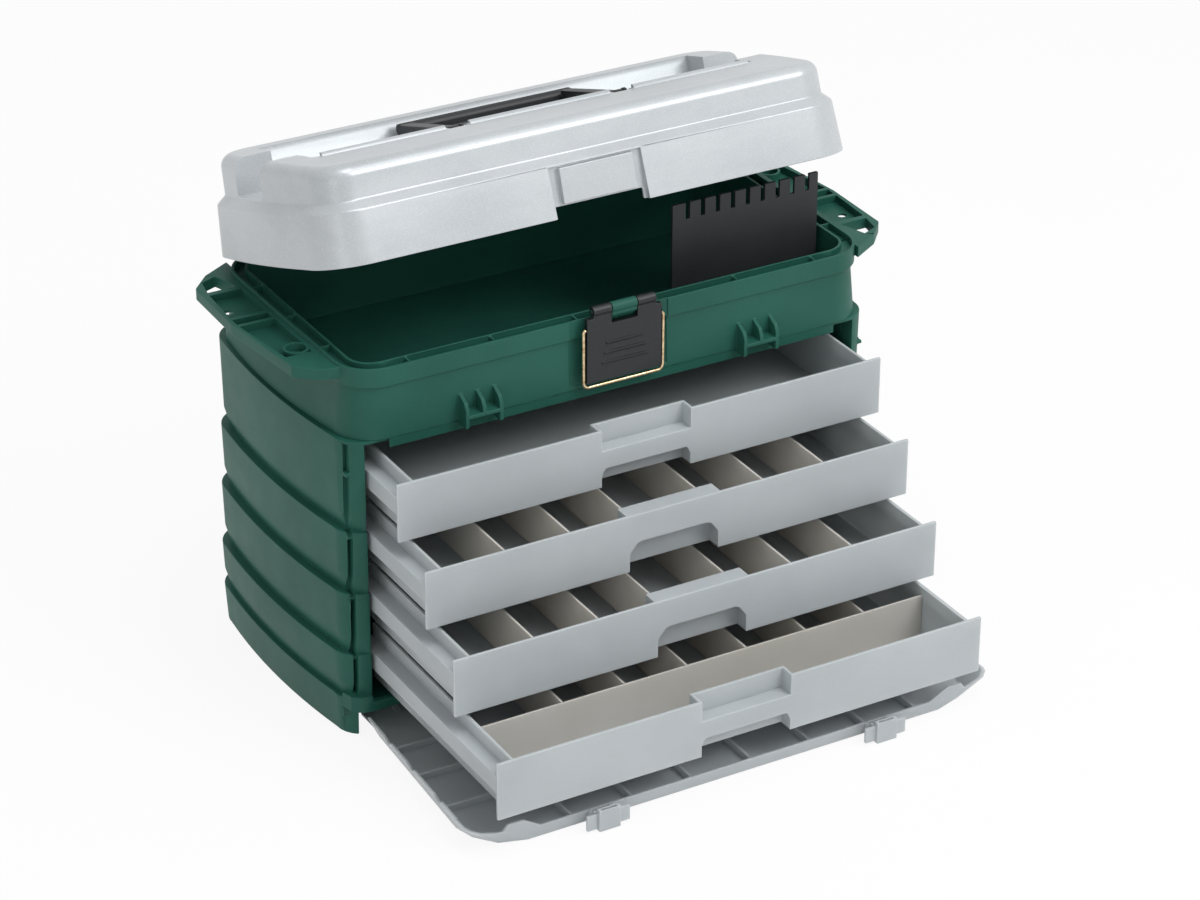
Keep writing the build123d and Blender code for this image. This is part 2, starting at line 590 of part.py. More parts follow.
def lid_shell():
    """Two-storey lid with its trough, end notches, beads, latch pad and hinge knuckles."""
    bay = LATCH_BAY
    depth = LID_FRONT + LATCH_BAY_DEPTH
    outer = lid_form(0) - trough_form(0)
    outer = outer - block(-bay, bay, LID_FRONT - 1, depth, LID_BOTTOM - 2, LID_BAND - 1)
    inner = lid_form(LID_WALL) - trough_form(LID_WALL)
    inner = inner - block(-bay - LID_WALL, bay + LID_WALL, LID_FRONT - 1, depth + LID_WALL, -9, LID_BAND + 1)
    lid = outer - inner
    y0, y1 = NOTCH_Y
    half_skin = lid_form(LID_WALL / 2)
    ends = []
    for side in (1, -1):
        x_in, x_out = sorted((side * (TROUGH_HALF_X - 4), side * (LID_HALF_X + LID_BOW + 2)))
        ends.append(block(x_in, x_out, y0, y1, TROUGH_FLOOR + 1, LID_DECK_BACK + 10))
    lid = lid - ends
    # walls that close the notches towards the hollow side parts
    walls = []
    for side in (1, -1):
        x_in, x_out = sorted((side * TROUGH_HALF_X, side * (LID_HALF_X + LID_BOW)))
        walls.append(block(x_in, x_out, y0 - LID_WALL, y1 + LID_WALL, TROUGH_FLOOR + 1 - LID_WALL, TROUGH_FLOOR + 1))
        for y in (y0 - LID_WALL, y1):
            walls.append(block(x_in, x_out, y, y + LID_WALL, TROUGH_FLOOR, LID_DECK_BACK + 3))
    lid = lid + [wall & half_skin for wall in walls]
    beads = []
    y = TROUGH_FRONT - 1
    z = LID_DECK_FRONT + 0.5
    inside = HANDLE_X - BEAD_GAP
    outside = HANDLE_X + BEAD_GAP
    end = TROUGH_HALF_X - 7
    for x0, x1 in ((-end, -outside), (-inside, inside), (outside, end)):
        beads.append(rod_x(x0, x1, y, z, BEAD_R))
    lid = lid + beads
    lid = lid - trough_form(0)
    pad = block(-LATCH_PAD, LATCH_PAD, LID_FRONT + 1.2, depth + 1, 10, 40)
    lid = lid + pad
    lid = lid - block(-bay + 2, bay - 2, LID_FRONT - 1, depth + LID_WALL + 2, -9, 8)
    half = KNUCKLE / 2 + SIDE_PLAY
    arms = []
    bores = []
    for side in (1, -1):
        x = side * HINGE_X
        for step in (-1, 1):
            near = x + step * half
            far = x + step * (half + KNUCKLE)
            arms.append(block(near, far, LID_BACK - 2, 0, LID_BOTTOM, HINGE_R - 1))
            arms.append(rod_x(near, far, 0, 0, HINGE_R))
        bores.append(rod_x(x - 3 * KNUCKLE, x + 3 * KNUCKLE, 0, 0, HINGE_PIN_R))
    return lid_place((lid + arms) - bores)


def hinge_pins():
    """Two steel pins of the lid hinge."""
    reach = 1.5 * KNUCKLE + SIDE_PLAY
    return [lid_place(rod_x(side * HINGE_X - reach, side * HINGE_X + reach, 0, 0, HINGE_PIN_R)) for side in (1, -1)]


def handle_bracket(side):
    """Clevis that stands in the lid's pocket and carries one handle arm."""
    x = side * HANDLE_X
    inner = HANDLE_ARM / 2 + SIDE_PLAY
    outer = inner + CHEEK
    y0 = HANDLE_Y - 13
    y1 = HANDLE_Y + 13
    parts = [block(x - outer, x + outer, y0, y1, 60, 60 + CHEEK)]
    for step in (-1, 1):
        a, b = sorted((x + step * inner, x + step * outer))
        parts.append(block(a, b, HANDLE_Y - HANDLE_EYE, HANDLE_Y + HANDLE_EYE, 60, HANDLE_Z))
        parts.append(rod_x(a, b, HANDLE_Y, HANDLE_Z, HANDLE_EYE))
    bore = rod_x(x - 2 * outer, x + 2 * outer, HANDLE_Y, HANDLE_Z, HANDLE_PIN_R)
    return lid_place(solid_of(parts) - bore)


def handle_pins():
    """Two pivot pins of the handle."""
    reach = HANDLE_ARM / 2 + SIDE_PLAY + CHEEK
    pins = []
    for side in (1, -1):
        x = side * HANDLE_X
        pins.append(lid_place(rod_x(x - reach, x + reach, HANDLE_Y, HANDLE_Z, HANDLE_PIN_R)))
    return pins


def handle_grip():
    """Bail handle: two flat arms and a rounded bar, folded back in the trough."""
    bar_y = HANDLE_Y + HANDLE_LENGTH
    half = HANDLE_ARM / 2
    parts = []
    bores = []
    for side in (1, -1):
        x = side * HANDLE_X
        parts.append(rod_x(x - half, x + half, HANDLE_Y, HANDLE_Z, HANDLE_EYE - 0.6))
        arm = [(HANDLE_Y, HANDLE_Z - 5), (bar_y, HANDLE_Z - 4.5), (bar_y + 5, HANDLE_Z), (bar_y, HANDLE_Z + 4.5),
               (HANDLE_Y, HANDLE_Z + 5)]
        parts.append(section_yz(arm, x - half, x + half))
        bores.append(rod_x(x - 2 * half, x + 2 * half, HANDLE_Y, HANDLE_Z, HANDLE_PIN_R + RUNNING))
    bar = rod_x(-HANDLE_X - half, HANDLE_X + half, bar_y, HANDLE_Z, HANDLE_BAR / 2)
    return lid_place(solid_of(parts + [bar]) - bores)


# ---- front latch --------------------------------------------------------
def latch_plate():
    """Black latch plate with knuckles at its top, ribs on its face and holes for the bail."""
    z0, z1 = PLATE_Z
    y0 = PLATE_Y
    y1 = PLATE_Y + PLATE_THICK
    eye_y = (y0 + y1) / 2 + 1
    neck = LATCH_PIN_Z - LATCH_KNUCKLE - 1
    plate = block(-PLATE_HALF, PLATE_HALF, y0, y1, z0, neck)
    parts = [plate]
    bore = rod_x(-PLATE_HALF, PLATE_HALF, eye_y, LATCH_PIN_Z, LATCH_PIN_R + RUNNING)
    for side in (1, -1):
        a, b = sorted((side * (LUG_HALF + SIDE_PLAY), side * (PLATE_HALF - 6)))
        parts.append(block(a, b, y0, y1, neck - 1, LATCH_PIN_Z))
        parts.append(rod_x(a, b, eye_y, LATCH_PIN_Z, LATCH_KNUCKLE))
    for step in range(3):
        z = z0 + 16 + 9 * step
        parts.append(block(-22 + 2 * step, 22 - 2 * step, y0 - 1.2, y0, z, z + 2.4))
    holes = []
    for side in (1, -1):
        a, b = sorted((side * (PLATE_HALF - 7), side * (PLATE_HALF + 1)))
        holes.append(rod_x(a, b, (y0 + y1) / 2, BAIL_Z[1], BAIL_R + RUNNING))
    lug_gap = block(-LUG_HALF - SIDE_PLAY, LUG_HALF + SIDE_PLAY, y0 - 1, y1 + 1, LATCH_PIN_Z - 13, z1)
    return solid_of(parts) - holes - [bore, lug_gap]


def latch_bail():
    """Wire bail that hangs round the latch plate, its ends turned into the plate."""
    y = PLATE_Y + PLATE_THICK / 2
    low, high = BAIL_Z
    tip = PLATE_HALF - 6
    route = FilletPolyline(
        (-tip, y, high), (-BAIL_HALF, y, high), (-BAIL_HALF, y, low),
        (BAIL_HALF, y, low), (BAIL_HALF, y, high), (tip, y, high),
        radius=[2.0, BAIL_BEND, BAIL_BEND, 2.0],
    )
    start = Plane(origin=(-tip, y, high), z_dir=(-1, 0, 0))
    return sweep(start * Circle(BAIL_R), path=route)


# ---- drawers ------------------------------------------------------------
def arch_strip(y0, top, drop, arch, taper):
    """Front strip over a finger pull, with the arch that the fingers reach through."""
    low = top - DRAWER_HEIGHT
    crown = low + arch
    points = [(-PULL_HALF, top - drop), (-PULL_HALF, low + 0.6 * arch), (-PULL_HALF + taper * 0.6, crown - 1.5),
              (-PULL_HALF + taper, crown), (PULL_HALF - taper, crown), (PULL_HALF - taper * 0.6, crown - 1.5),
              (PULL_HALF, low + 0.6 * arch), (PULL_HALF, top - drop)]
    return section_xz(points, y0, y0 + DRAWER_WALL)


def divider_slots(xs, y_front, y_back, z0, z1):
    """Pairs of small ribs that hold the dividers' ends."""
    ribs = []
    gap = DIVIDER / 2 + 0.1
    for x in xs:
        front = y_front + (PULL_DEPTH if abs(x) < PULL_HALF + DRAWER_WALL else 0)
        for step in (-1, 1):
            a, b = sorted((x + step * gap, x + step * (gap + GROOVE_RIB)))
            ribs.append(block(a, b, front - 0.1, front + GROOVE_RIB, z0, z1))
            ribs.append(block(a, b, y_back - GROOVE_RIB, y_back + 0.1, z0, z1))
    return ribs


def drawer_tray(index):
    """One drawer: box, rails at its sides and a finger pull moulded into its front."""
    top = DRAWER_TOPS[index]
    low = top - DRAWER_HEIGHT
    y0 = FRONT_Y - DRAWER_OUT[index]
    y1 = y0 + DRAWER_DEPTH
    wall = DRAWER_WALL
    parts = [
        block(-FRONT_HALF, FRONT_HALF, y0, y0 + wall, low, top),
        block(-BOX_HALF, BOX_HALF, y1 - wall, y1, low, top),
        block(-BOX_HALF, BOX_HALF, y0, y1, low, low + DRAWER_FLOOR),
    ]
    parts += both_sides(BOX_HALF - wall, BOX_HALF, y0, y1, low, top)
    rail = top - RAIL_TOP
    parts += both_sides(BOX_HALF - 1, FRONT_HALF, y0 + 1, y1, rail - wall, rail)
    parts += both_sides(FRONT_HALF - wall, FRONT_HALF, y0 + 1, y1, rail - RAIL_HEIGHT, rail)
    tray = solid_of(parts)
    tray = tray - block(-PULL_HALF, PULL_HALF, y0 - 1, y0 + PULL_DEPTH, low - 1, top + 1)
    back = y0 + PULL_DEPTH
    edge = PULL_HALF + wall
    shelf = top - PULL_DROPS[index]
    pull = both_sides(PULL_HALF, edge, y0, back + wall, low, top)
    pull.append(block(-edge, edge, back, back + wall, low, top))
    pull.append(block(-PULL_HALF, PULL_HALF, y0, back, shelf - wall, shelf))
    pull.append(arch_strip(y0, top, PULL_DROPS[index], ARCH_HEIGHTS[index], ARCH_TAPER[index]))
    floor = low + DRAWER_FLOOR
    ribs = []
    if index in (1, 2):
        ribs = divider_slots(DIVIDER_XS, y0 + wall, y1 - wall, floor, top - DIVIDER_DROP)
    return tray + pull + ribs


def cross_divider(index, x):
    """Upright plate across a drawer, from the finger pull's wall or the front to the back."""
    top = DRAWER_TOPS[index]
    low = top - DRAWER_HEIGHT + DRAWER_FLOOR
    y0 = FRONT_Y - DRAWER_OUT[index]
    front = y0 + DRAWER_WALL + (PULL_DEPTH if abs(x) < PULL_HALF + DRAWER_WALL else 0)
    back = y0 + DRAWER_DEPTH - DRAWER_WALL
    return block(x - DIVIDER / 2, x + DIVIDER / 2, front, back, low, top - DIVIDER_DROP)


def long_divider():
    """Lengthwise plate in the lowest drawer."""
    top = DRAWER_TOPS[-1]
    low = top - DRAWER_HEIGHT + DRAWER_FLOOR
    y = FRONT_Y - DRAWER_OUT[-1] + LONG_DIVIDER
    half = BOX_HALF - DRAWER_WALL
    return block(-half, half, y, y + DIVIDER, low, top - DIVIDER_DROP)


def rear_divider(x):
    """Short plate behind the lengthwise one in the lowest drawer."""
    top = DRAWER_TOPS[-1]
    low = top - DRAWER_HEIGHT + DRAWER_FLOOR
    y0 = FRONT_Y - DRAWER_OUT[-1]
    front = y0 + LONG_DIVIDER + DIVIDER
    back = y0 + DRAWER_DEPTH - DRAWER_WALL
    return block(x - DIVIDER / 2, x + DIVIDER / 2, front, back, low, top - DIVIDER_DROP)


# ---- front door ---------------------------------------------------------
def door_face(inset, z):
    """Plan of the open door at height z: its walls lean out from the bottom to the lip."""
    share = (z - DOOR_RISE) / (DOOR_LIP - DOOR_RISE)
    low = 1 - share
    lean = DOOR_LEAN * low + inset
    tip = DOOR_TIP + DOOR_LEAN / 3 * low + inset
    corner = DOOR_CORNER_LIP * share + DOOR_CORNER_LOW * low
    wide = DOOR_HALF + DOOR_SPREAD - lean
    rear = FRONT_Y - DOOR_GAP
    outline = [(lean - DOOR_HALF, rear), (-wide, tip + corner), (-wide + 0.12 * corner, tip + 0.58 * corner),
               (-wide + 0.45 * corner, tip + 0.17 * corner), (-wide + corner, tip)]
    mirrored = [(-x, y) for x, y in reversed(outline)]
    return Pos(0, 0, z) * make_face(Polyline(*outline, *mirrored, close=True))


def door_panel():
    """Door lying open: skin, leaning walls with notches, stiffening ribs and hinge eyes."""
    z0 = DOOR_RISE
    skin = DOOR_SKIN
    wide = DOOR_HALF + DOOR_SPREAD
    rear = FRONT_Y - DOOR_GAP
    inner_half = DOOR_HALF - DOOR_LEAN - 2
    sheet = block(-inner_half, inner_half, rear - 20, DOOR_REAR, z0, z0 + skin)
    rim = loft([door_face(0, z0), door_face(0, DOOR_LIP)], ruled=True)
    hollow = loft([door_face(skin, z0 + skin), door_face(skin, DOOR_LIP + 1)], ruled=True)
    hollow = hollow + block(-inner_half, inner_half, rear - 5, rear + 1, z0 + skin, DOOR_LIP + 1)
    rim = rim - hollow
    cuts = []
    for y in DOOR_NOTCHES:
        points = [(y - 13, DOOR_LIP + 1), (y - 4, DOOR_LIP - 8), (y + 1, DOOR_LIP - 8), (y + 3, DOOR_LIP + 1)]
        cuts.append(section_yz(points, -wide - 1, wide + 1))
    rim = rim - cuts
    dip = 12.0
    lowered = [(-208.0, DOOR_LIP + 1), (-190.0, dip), (190.0, dip), (208.0, DOOR_LIP + 1)]
    rim = rim - section_xz(lowered, DOOR_TIP - 1, DOOR_TIP + skin + 5)
    scoop = DOOR_HALF - 27
    for side in (1, -1):
        corner = [(side * scoop, DOOR_LIP + 1), (side * (scoop + 5), DOOR_LIP - 6), (side * (wide + 2), DOOR_LIP - 1),
                  (side * (wide + 2), DOOR_LIP + 1)]
        rim = rim - section_xz(corner, DOOR_TIP - 1, DOOR_TIP + 30)
    ribs = [block(x, x + skin, DOOR_TIP + 5, FRONT_Y + 20, z0, z0 + DOOR_RIB) for x in DOOR_RIBS]
    for y in DOOR_NOTCHES:
        reach = DOOR_HALF - DOOR_LEAN + (rear - y) / 20 - 0.5
        for side in (1, -1):
            points = [(side * (DOOR_HALF - 62), z0), (side * reach, z0), (side * (reach + 4), z0 + DOOR_RIB),
                      (side * (DOOR_HALF - 50), z0 + DOOR_RIB)]
            ribs.append(section_xz(points, y - 2, y + 0.6))
    y, z = DOOR_PIVOT
    eyes = []
    bores = []
    for side in (1, -1):
        for step in (-1, 1):
            a, b = sorted((side * CARRIAGE_X + step * 3.4, side * CARRIAGE_X + step * 7.4))
            eyes.append(section_yz([(DOOR_REAR - 20, z0), (DOOR_REAR, z0), (y + 4, z - 5), (y, z),
                                    (DOOR_REAR - 20, z0 + skin)], a, b))
            eyes.append(rod_x(a, b, y, z, DOOR_EYE))
        bores.append(rod_x(side * CARRIAGE_X - 12, side * CARRIAGE_X + 12, y, z, DOOR_PIN_R + RUNNING))
    # seats for the two latches
    lugs = []
    for side in (1, -1):
        x = side * DOOR_LATCH_X
        for step in (-1, 1):
            a, b = sorted((x + step * 8, x + step * 11))
            lugs.append(section_yz([(DOOR_TIP + 4, 4), (DOOR_TIP - 7, 10), (DOOR_TIP - 7, 12), (DOOR_TIP + 3, 12)], a, b))
            lugs.append(rod_x(a, b, DOOR_TIP - 6.5, 12, 3.5))
        bores.append(rod_x(x - 15, x + 15, DOOR_TIP - 6.5, 12, 1.5))
    return (sheet + rim + ribs + eyes + lugs) - bores


def door_latch(side):
    """Door latch: a tab with a tongue that turns on its pin at the lip."""
    x = side * DOOR_LATCH_X
    y = DOOR_TIP - 6.5
    z = 12.0
    inner = 8 - SIDE_PLAY
    tongue = [(y - 3.5, z), (y - 3.5, z + 5), (y - 5, z + 8), (y - 9, z + 8), (y - 9, z - 12), (y - 5.5, z - 12),
              (y - 3.5, z - 5)]
    half = DOOR_LATCH_HALF / 2
    body = block(x - half, x + half, y - 9, y - 4, z - 12, z + 8)
    body = body + section_yz(tongue, x - inner, x + inner)
    wing = [(y - 6.5, z + 4), (y - 6.5, z - 10), (y - 4, z - 10), (y - 4, z + 4)]
    body = body + section_yz(wing, x - DOOR_LATCH_HALF, x + DOOR_LATCH_HALF)
    neck = block(x - inner, x + inner, y - 6.5, y, z - 3, z + 3)
    body = body + [neck, rod_x(x - inner, x + inner, y, z, 3.5)]
    body = body - block(x - half + 3, x + half - 3, y - 8, y - 5.5, z + 3, z + 9)
    return body - rod_x(x - 15, x + 15, y, z, 1.5 + RUNNING)


def door_latch_pins():
    """Two pins of the door latches."""
    return [rod_x(s * DOOR_LATCH_X - 11, s * DOOR_LATCH_X + 11, DOOR_TIP - 6.5, 12, 1.5) for s in (1, -1)]


def door_carriage():
    """Two sliding shoes, joined by a bar, that run in the tracks under the floor."""
    y, z = DOOR_PIVOT
    play = 0.4
    low = 4.5
    high = FLOOR_Z - play
    reach = CARRIAGE_X - TRACK_HALF + play
    bar = block(-reach, reach, y + 10, y + 16, 8, 14)
    parts = []
    for side in (1, -1):
        x = side * CARRIAGE_X
        parts.append(block(x - TRACK_HALF + play, x + TRACK_HALF - play, y + 8, y + 34, low, high))
        parts.append(block(x - 3, x + 3, y, y + 9, z - DOOR_EYE, z + DOOR_EYE))
        parts.append(rod_x(x - 3, x + 3, y, z, DOOR_EYE))
    bores = [rod_x(s * CARRIAGE_X - 12, s * CARRIAGE_X + 12, y, z, DOOR_PIN_R) for s in (1, -1)]
    return solid_of(parts) - bores, bar


def door_pins():
    """Two hinge pins of the door."""
    y, z = DOOR_PIVOT
    return [rod_x(s * CARRIAGE_X - 8, s * CARRIAGE_X + 8, y, z, DOOR_PIN_R) for s in (1, -1)]


# ---- write every piece --------------------------------------------------
def all_pieces():
    """Every node's name with its shape."""
    shoes, bar = door_carriage()
    pieces = {
        "case_shell": case_shell(),
        "base_panel": base_panel(),
        "runner_panel_left": runner_panel(-1),
        "runner_panel_right": runner_panel(1),
        "well_tub": well_tub(),
        "slotted_rack": slotted_rack(),
        "latch_pin": latch_pin(),
        "lid_shell": lid_shell(),
        "lid_hinge_pins": Compound(children=hinge_pins()),
        "handle_bracket_left": handle_bracket(-1),
        "handle_bracket_right": handle_bracket(1),
        "handle_pivot_pins": Compound(children=handle_pins()),
        "handle_grip": handle_grip(),
        "latch_plate": latch_plate(),
        "latch_bail": latch_bail(),
        "door_carriage": shoes,
        "door_carriage_bar": bar,
        "door_hinge_pins": Compound(children=door_pins()),
        "door_panel": door_panel(),
        "door_latch_left": door_latch(-1),
        "door_latch_right": door_latch(1),
        "door_latch_pins": Compound(children=door_latch_pins()),
    }
    for index in range(len(DRAWER_TOPS)):
        pieces[f"drawer_{index + 1}_tray"] = drawer_tray(index)
    for index in (1, 2):
        for number, x in enumerate(DIVIDER_XS, 1):
            pieces[f"drawer_{index + 1}_divider_{number}"] = cross_divider(index, x)
    pieces["drawer_4_long_divider"] = long_divider()
    for number, x in enumerate(REAR_XS, 1):
        pieces[f"drawer_4_rear_divider_{number}"] = rear_divider(x)
    return pieces


os.makedirs("parts", exist_ok=True)
for node, shape in all_pieces().items():
    export_step(shape, f"parts/{node}.step")
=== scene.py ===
"""Looks of a tackle cabinet: silver lid, green case, four grey drawers and a fold-down door."""

import json
import logging
import math
from dataclasses import dataclass
from enum import Enum

import bmesh
import bpy
from mathutils import Euler, Matrix, Vector

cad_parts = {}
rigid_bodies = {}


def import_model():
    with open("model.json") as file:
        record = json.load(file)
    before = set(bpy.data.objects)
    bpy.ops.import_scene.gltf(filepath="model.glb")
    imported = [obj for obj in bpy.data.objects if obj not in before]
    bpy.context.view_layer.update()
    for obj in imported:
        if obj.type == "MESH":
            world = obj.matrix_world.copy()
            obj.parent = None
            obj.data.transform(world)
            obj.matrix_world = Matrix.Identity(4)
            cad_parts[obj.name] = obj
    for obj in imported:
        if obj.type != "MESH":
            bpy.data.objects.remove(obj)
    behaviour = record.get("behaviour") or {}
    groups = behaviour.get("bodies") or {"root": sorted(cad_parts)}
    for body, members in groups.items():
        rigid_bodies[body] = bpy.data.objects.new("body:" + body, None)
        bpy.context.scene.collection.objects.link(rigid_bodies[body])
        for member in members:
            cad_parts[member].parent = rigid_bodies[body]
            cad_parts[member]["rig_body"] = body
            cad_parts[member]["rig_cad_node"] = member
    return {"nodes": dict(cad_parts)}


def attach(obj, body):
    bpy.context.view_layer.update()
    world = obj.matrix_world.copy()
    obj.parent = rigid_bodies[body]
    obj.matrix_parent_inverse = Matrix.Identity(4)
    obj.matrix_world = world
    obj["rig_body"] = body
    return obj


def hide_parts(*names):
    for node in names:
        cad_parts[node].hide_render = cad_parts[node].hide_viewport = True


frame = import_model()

log = logging.getLogger("tackle_cabinet")

MM = 0.001
EDGE_TURN = (0.02, 0.25)  # how far a normal turns near an edge, from faint to full painted edge highlight
WHITE = (1.0, 1.0, 1.0)

Colour = tuple[float, float, float]


def shade(red: int, green: int, blue: int) -> Colour:
    """Turns a screen colour into the linear colour that shaders take.

    Args:
        red, green, blue: the colour's parts, 0 to 255.

    Returns:
        The same colour, linear, 0 to 1.
    """
    parts = []
    for part in (red, green, blue):
        value = part / 255
        parts.append(value / 12.92 if value <= 0.04045 else ((value + 0.055) / 1.055) ** 2.4)
    return tuple(parts)


# ---- shader maths -----------------------------------------------------------
class Signal:
    """One shader socket, with the operators that build Math nodes."""

    def __init__(self, graph: "Graph", socket: bpy.types.NodeSocket) -> None:
        """Wraps the socket of a node in graph."""
        self.graph = graph
        self.socket = socket

    def _math(self, operation: str, first: "Signal | float", second: "Signal | float") -> "Signal":
        """Adds a Math node and returns its result."""
        return self.graph.node("ShaderNodeMath", {"operation": operation}, {0: first, 1: second})

    def __add__(self, other: "Signal | float") -> "Signal":
        """Sum."""
        return self._math("ADD", self, other)

    def __radd__(self, other: float) -> "Signal":
        """Sum with a number first."""
        return self._math("ADD", other, self)

    def __sub__(self, other: "Signal | float") -> "Signal":
        """Difference."""
        return self._math("SUBTRACT", self, other)

    def __rsub__(self, other: float) -> "Signal":
        """Difference with a number first."""
        return self._math("SUBTRACT", other, self)

    def __mul__(self, other: "Signal | float") -> "Signal":
        """Product."""
        return self._math("MULTIPLY", self, other)

    def __rmul__(self, other: float) -> "Signal":
        """Product with a number first."""
        return self._math("MULTIPLY", other, self)

    def ramp(self, low: float, high: float) -> "Signal":
        """Goes from 0 to 1 as the signal goes from low to high."""
        return self.graph.node(
            "ShaderNodeMapRange",
            {"interpolation_type": "SMOOTHSTEP"},
            {"Value": self, "From Min": low, "From Max": high},
        )


class Graph:
    """Node tree of one material or of the world."""

    def __init__(self, owner: bpy.types.Material | bpy.types.World) -> None:
        """Empties the owner's node tree and keeps it."""
        owner.use_nodes = True
        self.tree = owner.node_tree
        of_world = isinstance(owner, bpy.types.World)
        self.output = "ShaderNodeOutputWorld" if of_world else "ShaderNodeOutputMaterial"
        self.tree.nodes.clear()

    def node(
        self,
        kind: str,
        settings: dict[str, object] | None = None,
        inputs: dict[int | str, object] | None = None,
        output: int | str = 0,
    ) -> "Signal | None":
        """Adds one node.

        Args:
            kind: the node's type.
            settings: properties set before its sockets.
            inputs: values or signals by socket.
            output: the socket that is returned.

        Returns:
            The chosen output, or None for a node that has none.
        """
        made = self.tree.nodes.new(kind)
        for key, value in (settings or {}).items():
            setattr(made, key, value)
        for key, value in (inputs or {}).items():
            self.feed(made.inputs[key], value)
        return Signal(self, made.outputs[output]) if len(made.outputs) else None

    def feed(self, socket: bpy.types.NodeSocket, value: object) -> None:
        """Links a signal to a socket, or sets the socket's own value."""
        if isinstance(value, Signal):
            self.tree.links.new(value.socket, socket)
        elif isinstance(value, tuple) and len(value) == 3 and socket.type == "RGBA":
            socket.default_value = (*value, 1)
        else:
            socket.default_value = value

    def place(self, stretch: Colour = (1, 1, 1)) -> Signal:
        """Object coordinates, stretched along the axes."""
        point = self.node("ShaderNodeTexCoord", output="Object")
        if stretch == (1, 1, 1):
            return point
        return self.node("ShaderNodeMapping", inputs={"Vector": point, "Scale": stretch})

    def noise(self, point: Signal, scale: float, detail: float = 2, roughness: float = 0.5) -> Signal:
        """Noise of a given scale, 0 to 1."""
        return self.node(
            "ShaderNodeTexNoise",
            inputs={"Vector": point, "Scale": scale, "Detail": detail, "Roughness": roughness},
        )

    def mix(self, factor: Signal | float, first: object, second: object) -> Signal:
        """Mixes two colours."""
        inputs = {0: factor, 6: first, 7: second}
        return self.node("ShaderNodeMix", {"data_type": "RGBA"}, inputs, output=2)

    def bump(self, height: Signal, strength: float, distance: float) -> Signal:
        """Normal of a relief."""
        inputs = {"Height": height, "Strength": strength, "Distance": distance}
        return self.node("ShaderNodeBump", inputs=inputs)

    def edges(self, radius: float) -> Signal:
        """0 on flat faces, rising where an edge is nearer than radius."""
        rounded = self.node("ShaderNodeBevel", {"samples": 4}, {"Radius": radius})
        normal = self.node("ShaderNodeNewGeometry", output="Normal")
        facing = self.node(
            "ShaderNodeVectorMath", {"operation": "DOT_PRODUCT"}, {0: rounded, 1: normal}, output="Value"
        )
        return (1 - facing).ramp(*EDGE_TURN)

    def surface(self, shader: Signal) -> None:
        """Sends a shader to the output."""
        self.node(self.output, inputs={"Surface": shader})

    def ray(self, kind: str) -> Signal:
        """1 for rays of one kind, such as Is Camera Ray."""
        return self.node("ShaderNodeLightPath", output=kind)


# ---- finishes ---------------------------------------------------------------
@dataclass(frozen=True)
class Moulded:
    """Injection-moulded plastic: fine grain, faint mottling and a painted highlight on the edges."""

    name: str
    colour: Colour
    deep: Colour
    # pale colour of the grain flecks, also the colour of the painted edge highlight
    fleck_and_highlight: Colour
    roughness: float = 0.45
    specular: float = 0.5
    metallic: float = 0.0
    grain: float = 1500.0
    relief: float = 0.12
    # strength of the painted edge highlight
    edge_highlight_strength: float = 0.5
    milk: float = 0.0
    cloud_scale: float = 9.0
    smudge_scale: float = 46.0
    fleck: float = 0.12
    edge_mm: float = 0.9
    depth_mm: float = 9.0
    relief_mm: float = 0.2
    scatter: Colour = (1.0, 0.97, 0.92)

    def material(self) -> bpy.types.Material:
        """Makes the finish.

        Returns:
            The material.
        """
        made = bpy.data.materials.new(self.name)
        graph = Graph(made)
        point = graph.place()
        clouds = graph.noise(point, self.cloud_scale, 3)
        grain = graph.noise(point, self.grain, 2, 0.6)
        smudges = graph.noise(point, self.smudge_scale, 4, 0.6)
        colour = graph.mix(clouds.ramp(0.3, 0.72), self.colour, self.deep)
        colour = graph.mix(grain.ramp(0.45, 0.8) * self.fleck, colour, self.fleck_and_highlight)
        # painted highlight: edges turn lighter, in patches broken up by the smudge noise
        edge_highlight = graph.edges(self.edge_mm * MM) * smudges.ramp(0.35, 0.65) * self.edge_highlight_strength
        colour = graph.mix(edge_highlight, colour, self.fleck_and_highlight)
        rough = self.roughness + (smudges - 0.5) * 0.16 + grain * 0.05
        shader = graph.node(
            "ShaderNodeBsdfPrincipled",
            inputs={
                "Base Color": colour,
                "Roughness": rough,
                "Metallic": self.metallic,
                "Specular IOR Level": self.specular,
                "Subsurface Weight": self.milk,
                "Subsurface Radius": self.scatter,
                "Subsurface Scale": self.depth_mm * MM,
                "Normal": graph.bump(grain + clouds * 0.4, self.relief, self.relief_mm * MM),
            },
        )
        graph.surface(shader)
        return made


